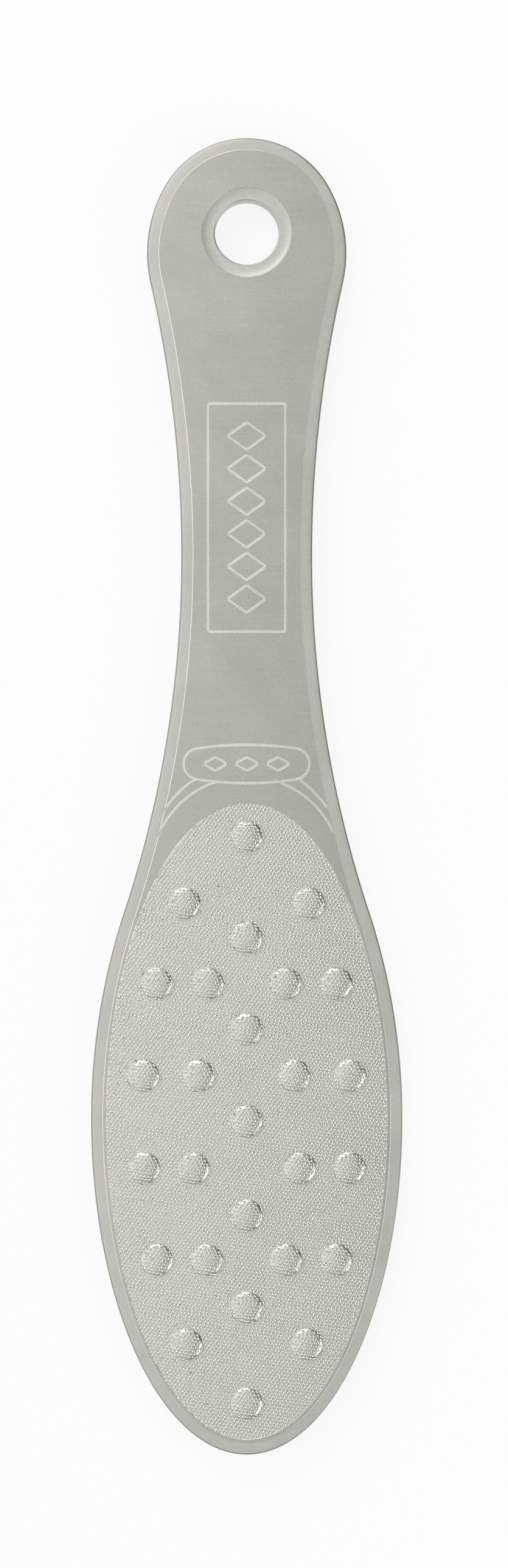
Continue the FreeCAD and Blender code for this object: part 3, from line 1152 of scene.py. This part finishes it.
# %% Tree of the teeth
TOOTH_LEAST = (0.86, 0.86, 0.90)    # teeth differ in size by these shares
TOOTH_MOST = (1.14, 1.14, 1.0)


def one_tooth(tree, given):
    """A cone with a flat top, its foot sunk a little. Its flank is smooth and its top flat."""
    cone = add(
        tree, "GeometryNodeMeshCone",
        {"Vertices": given["Sides"], "Radius Top": given["Tip radius"],
         "Radius Bottom": given["Foot radius"],
         "Depth": calc("ADD", given["Tooth height"], given["Sink"])},
        fill_type="NGON"
    ).outputs
    flank = out(
        tree, "GeometryNodeSetShadeSmooth", {"Geometry": cone["Mesh"], "Selection": cone["Side"]}
    )
    flat = out(
        tree, "GeometryNodeSetShadeSmooth",
        {"Geometry": flank, "Selection": cone["Top"], "Shade Smooth": False}
    )
    marked = out(
        tree, "GeometryNodeStoreNamedAttribute",
        {"Geometry": flat, "Name": "top", "Value": cone["Top"]}, data_type="BOOLEAN", domain="FACE"
    )
    down = vector(Z=calc("MULTIPLY", given["Sink"], -1.0))
    return out(tree, "GeometryNodeTransform", {"Geometry": marked, "Translation": down})


def teeth_tree():
    """Teeth all over a stretch of the pad, which is the input mesh, with their tips marked."""
    tree, start, end = geometry_tree("etched_teeth", {
        FLOAT: ["Pitch", "Turn", "Shake", "Half width", "Half length", "Centre y", "Low y", "High y",
                "Foot radius", "Tip radius", "Tooth height", "Sink"],
        INTEGER: ["Columns", "Rows", "Sides", "Seed"],
        MATERIAL: ["Finish", "Tip finish"],
    })
    given = start.outputs
    points, normal = drop(tree, scatter(tree, given), given)
    upright = out(tree, "FunctionNodeAlignRotationToVector", {"Vector": normal}, axis="Z")
    spin = add(
        tree, "FunctionNodeRandomValue", {2: 0.0, 3: math.tau, "Seed": given["Seed"]},
        data_type="FLOAT"
    ).outputs[1]
    turned = out(tree, "FunctionNodeAxisAngleToRotation", {"Axis": (0.0, 0.0, 1.0), "Angle": spin})
    stance = out(
        tree, "FunctionNodeRotateRotation", {"Rotation": upright, "Rotate By": turned},
        rotation_space="LOCAL"
    )
    size = out(
        tree, "FunctionNodeRandomValue",
        {0: TOOTH_LEAST, 1: TOOTH_MOST, "Seed": calc("ADD", given["Seed"], 1)},
        data_type="FLOAT_VECTOR"
    )
    standing = out(
        tree, "GeometryNodeInstanceOnPoints",
        {"Points": points, "Instance": one_tooth(tree, given), "Rotation": stance, "Scale": size}
    )
    real = out(tree, "GeometryNodeRealizeInstances", {"Geometry": standing})
    top = out(tree, "GeometryNodeInputNamedAttribute", {"Name": "top"}, data_type="BOOLEAN")
    # The flanks take the bright tooth finish, a painted highlight, and the marked tops the dark tip finish, a painted
    # shade.
    coated = out(tree, "GeometryNodeSetMaterial", {"Geometry": real, "Material": given["Finish"]})
    tipped = out(
        tree, "GeometryNodeSetMaterial",
        {"Geometry": coated, "Selection": top, "Material": given["Tip finish"]}
    )
    tree.links.new(tipped, end.inputs["Geometry"])
    return tree


TEETH_TREE = teeth_tree()
print("tree:", TEETH_TREE.name, "of", len(TEETH_TREE.nodes), "nodes")

# %% Coarse and fine teeth
TEETH = {
    "coarse": {
        "Pitch": 0.00069, "Shake": 0.00009, "Foot radius": 0.00033, "Tip radius": 0.00012, "Sides": 6
    },
    "fine": {
        "Pitch": 0.00052, "Shake": 0.00007, "Foot radius": 0.00024, "Tip radius": 0.00008, "Sides": 5
    },
}
TEETH_TURN = math.radians(-7.0)
TEETH_SEED = 7
STRETCHES = {"lower": (TIP_Y, PAD_Y), "upper": (PAD_Y, END_Y)}


def pad_form():
    """The pad's floor and domes alone, for the teeth to stand on."""
    form = bmesh.new()
    bend(form, pad_floor(form)[1], 0.0)
    form.from_mesh(DOME_BODIES)
    bmesh.ops.recalc_face_normals(form, faces=form.faces)
    return as_mesh(form, "pad_form")


PAD_FORM = pad_form()


def teeth(face, stretch):
    """The teeth of one face, on one stretch of its pad."""
    sizes = TEETH[face]
    low, high = STRETCHES[stretch]
    reach = PAD_HALF_LENGTH + PAD_HALF_WIDTH
    return run_tree(TEETH_TREE, PAD_FORM, {
        **sizes,
        "Columns": round(reach / sizes["Pitch"]),
        "Rows": round(2 * reach / sizes["Pitch"]),
        "Turn": TEETH_TURN,
        "Half width": PAD_HALF_WIDTH,
        "Half length": PAD_HALF_LENGTH,
        "Centre y": PAD_Y,
        "Low y": low,
        "High y": high,
        "Tooth height": ETCH,
        "Sink": SINK,
        "Seed": TEETH_SEED,
        "Finish": TOOTH_HIGHLIGHT,
        "Tip finish": TIP_SHADE,
    })


for face in PLACES:
    for stretch in STRETCHES:
        name = "_".join((face, "teeth", stretch))
        piece = show(name, teeth(face, stretch), face, face + "_face_plate")
        triangles = sum(len(polygon.vertices) - 2 for polygon in piece.data.polygons)
        print(name, "triangles", triangles)

# %% [markdown]
# ## Core and films
#
# The core and the two adhesive films lie inside the plates, where their solids are already right. They
# keep them and get a finish each: moulded plastic with a fine spark-eroded grain, and a cloudy film.

# %% Finishes of the hidden pieces
GRAIN = 0.00002                 # height of their grain


def plain_finish(name, dark, light, roughness, spot):
    """A finish whose tone and roughness drift with noise."""
    made, place = new_finish(name)
    frost = place_group(FROST, place, spot_size=spot)
    dress(frost, frost, dark, light, roughness, GRAIN)
    return made


CORE_FINISH = plain_finish(
    "Moulded_core", dark=(0.055, 0.055, 0.053), light=(0.085, 0.085, 0.08), roughness=(0.55, 0.70),
    spot=0.0005
)
FILM_FINISH = plain_finish(
    "Bond_film", dark=(0.58, 0.52, 0.38), light=(0.70, 0.65, 0.50), roughness=(0.45, 0.6), spot=0.004
)
HIDDEN = {"core": CORE_FINISH, "coarse_bond_film": FILM_FINISH, "fine_bond_film": FILM_FINISH}
for node, finish in HIDDEN.items():
    bpy.data.objects[node].material_slots[0].material = finish
    print(node, "finish", finish.name)

# %% [markdown]
# ## Floor, light and camera
#
# The file lies on a plain white floor under soft studio light. Metal shows its surroundings, so the
# sky is a calm gradient, lighter overhead and towards the left, with a faint soft panel overhead. Two
# softboxes, one beyond the handle and one at the right, put the bright edges on the domes and the
# teeth. The camera looks straight down.

# %% Floor
FLOOR_SIZE = 30.0
FLOOR_TONE = 0.86
FLOOR_GLOW = 0.85               # share of plain white in what is seen of the floor
WHITE = (1.0, 1.0, 1.0, 1.0)


def floor_finish():
    """Pale floor. What the camera and shiny metal see of it is nearly white, with the shadow kept."""
    made = bpy.data.materials.new("Pale_floor")
    made.use_nodes = True
    tree = made.node_tree
    tree.nodes.clear()
    paper = out(tree, "ShaderNodeBsdfDiffuse", {"Color": (FLOOR_TONE, FLOOR_TONE, FLOOR_TONE, 1.0)})
    glow = out(tree, "ShaderNodeEmission", {"Color": WHITE, "Strength": 1.0})
    path = add(tree, "ShaderNodeLightPath").outputs
    seen = calc("MAXIMUM", path["Is Camera Ray"], path["Is Glossy Ray"])
    seen = calc("MAXIMUM", seen, path["Is Transmission Ray"])
    share = calc("MULTIPLY", seen, FLOOR_GLOW)
    mixed = out(tree, "ShaderNodeMixShader", {0: share, 1: paper, 2: glow})
    add(tree, "ShaderNodeOutputMaterial", {"Surface": mixed})
    return made


half = FLOOR_SIZE / 2
floor_mesh = bpy.data.meshes.new("floor")
floor_mesh.from_pydata(
    [(-half, -half, 0.0), (half, -half, 0.0), (half, half, 0.0), (-half, half, 0.0)], [], [(0, 1, 2, 3)]
)
floor_mesh.materials.append(floor_finish())
floor = new_object("floor", floor_mesh)
print("floor", FLOOR_SIZE, "m square")

# %% Sky
SIDE_LIGHT = (-0.68, 0.08, 0.34)        # the sky grows lighter this way
SKY_MIDDLE, SKY_LEAST = 0.465, 0.06
PANEL_PLACE = (-0.107, 0.374, 0.921)    # overhead panel, a little beyond the handle
PANEL_FOCUS, PANEL_LIGHT = 12.0, 0.15

scene = bpy.context.scene
world = bpy.data.worlds.new("studio")
scene.world = world
world.use_nodes = True
sky = world.node_tree
background = sky.nodes["Background"]
direction = add(sky, "ShaderNodeTexCoord").outputs["Generated"]


def towards(way):
    """How far each direction of the sky goes a given way."""
    node = add(sky, "ShaderNodeVectorMath", {0: direction, 1: way}, operation="DOT_PRODUCT")
    return node.outputs["Value"]


calm = calc("MAXIMUM", calc("ADD", towards(SIDE_LIGHT), SKY_MIDDLE), SKY_LEAST)
lobe = calc("POWER", calc("MAXIMUM", towards(PANEL_PLACE), 0.0), PANEL_FOCUS)
level = calc("MULTIPLY_ADD", lobe, PANEL_LIGHT, calm)
background.inputs["Color"].default_value = WHITE
sky.links.new(level, background.inputs["Strength"])
print("sky of", len(sky.nodes), "nodes")

# %% Softboxes
SOFTBOX_DISTANCE = 1.2


def softbox(name, azimuth, elevation, width, height, power):
    """An area light that faces the file. Azimuth is counted from +X towards +Y, in degrees."""
    data = bpy.data.lights.new(name, "AREA")
    data.shape = "RECTANGLE"
    data.size, data.size_y = width, height
    data.energy = power
    light = new_object(name, data)
    a, e = math.radians(azimuth), math.radians(elevation)
    way = Vector((math.cos(a) * math.cos(e), math.sin(a) * math.cos(e), math.sin(e)))
    light.location = way * SOFTBOX_DISTANCE
    light.rotation_euler = (-way).to_track_quat("-Z", "Y").to_euler()
    light.visible_camera = False


softbox("far_softbox", azimuth=106.0, elevation=32.0, width=0.95, height=0.80, power=4.4)
softbox("right_softbox", azimuth=-30.0, elevation=28.0, width=1.05, height=0.65, power=5.2)

# %% Camera
LENS = 85.0
SENSOR = 36.0
FRAME_LENGTH = 0.2857           # what the picture's height covers at the file's face
AIM = (0.00133, 0.00226)        # the picture's middle, beside the file's

camera_data = bpy.data.cameras.new("camera")
camera_data.lens = LENS
camera_data.sensor_width = SENSOR
camera = new_object("camera", camera_data)
camera.location = (*AIM, FRAME_LENGTH * LENS / SENSOR + MIDDLE + FLOOR_LEVEL)
scene.camera = camera
scene.view_settings.view_transform = "Standard"
print("camera at", [round(value, 4) for value in camera.location])
